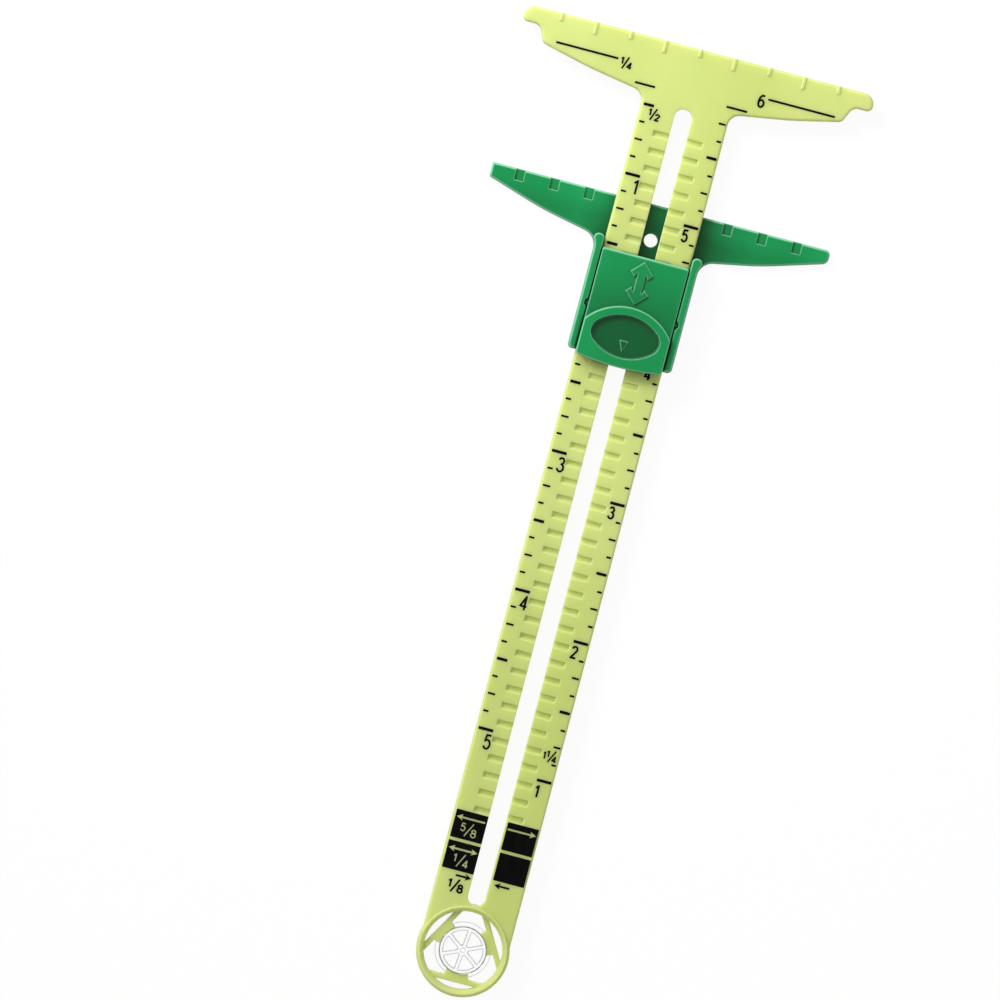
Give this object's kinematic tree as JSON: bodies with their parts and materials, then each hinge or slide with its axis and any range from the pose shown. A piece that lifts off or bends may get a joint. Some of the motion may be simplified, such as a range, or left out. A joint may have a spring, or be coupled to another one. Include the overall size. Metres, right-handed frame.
{
  "type": "sewing gauge",
  "caption": "T-shaped plastic sewing gauge with a notched slotted rule, a winged slider with a rocker lever, and a turning clear disc with a pin hole.",
  "frame": {"origin": "middle of the gauge's outline, on the plane that it lies on", "axes": "+Y along the strip towards the T head, +X along the head to the right as the scales are read, +Z out of the printed face"},
  "size_m": [0.064, 0.1734, 0.006],
  "materials": {
    "rule_plastic": "satin moulded, slightly translucent yellow-green",
    "slider_plastic": "satin moulded green",
    "clear_plastic": "clear moulded",
    "spring_steel": "bright strip"
  },
  "bodies": {
    "rule": {"rule": "rule_plastic"},
    "carriage": {"slider_carriage": "slider_plastic"},
    "lever": {"push_lever": "slider_plastic", "spring_leaf": "spring_steel"},
    "anchor": {"compass_anchor": "clear_plastic"}
  },
  "joints": [
    {"name": "slider_slide", "type": "slide", "parent": "rule", "child": "carriage", "axis": [0, 1, 0], "range_m": [-0.09842, 0.0254]},
    {"name": "lever_tilt", "type": "hinge", "parent": "carriage", "child": "lever", "pos_m": [0, 0.03823, 0.00415], "axis": [1, 0, 0], "range_deg": [0, 5.5], "stiffness_Nm_per_rad": 0.2, "springref_deg": -2.86, "deforming": ["spring_leaf"]},
    {"name": "anchor_spin", "type": "hinge", "parent": "rule", "child": "anchor", "pos_m": [0, -0.07839, 0.0017], "axis": [0, 0, 1], "continuous": true}
  ]
}
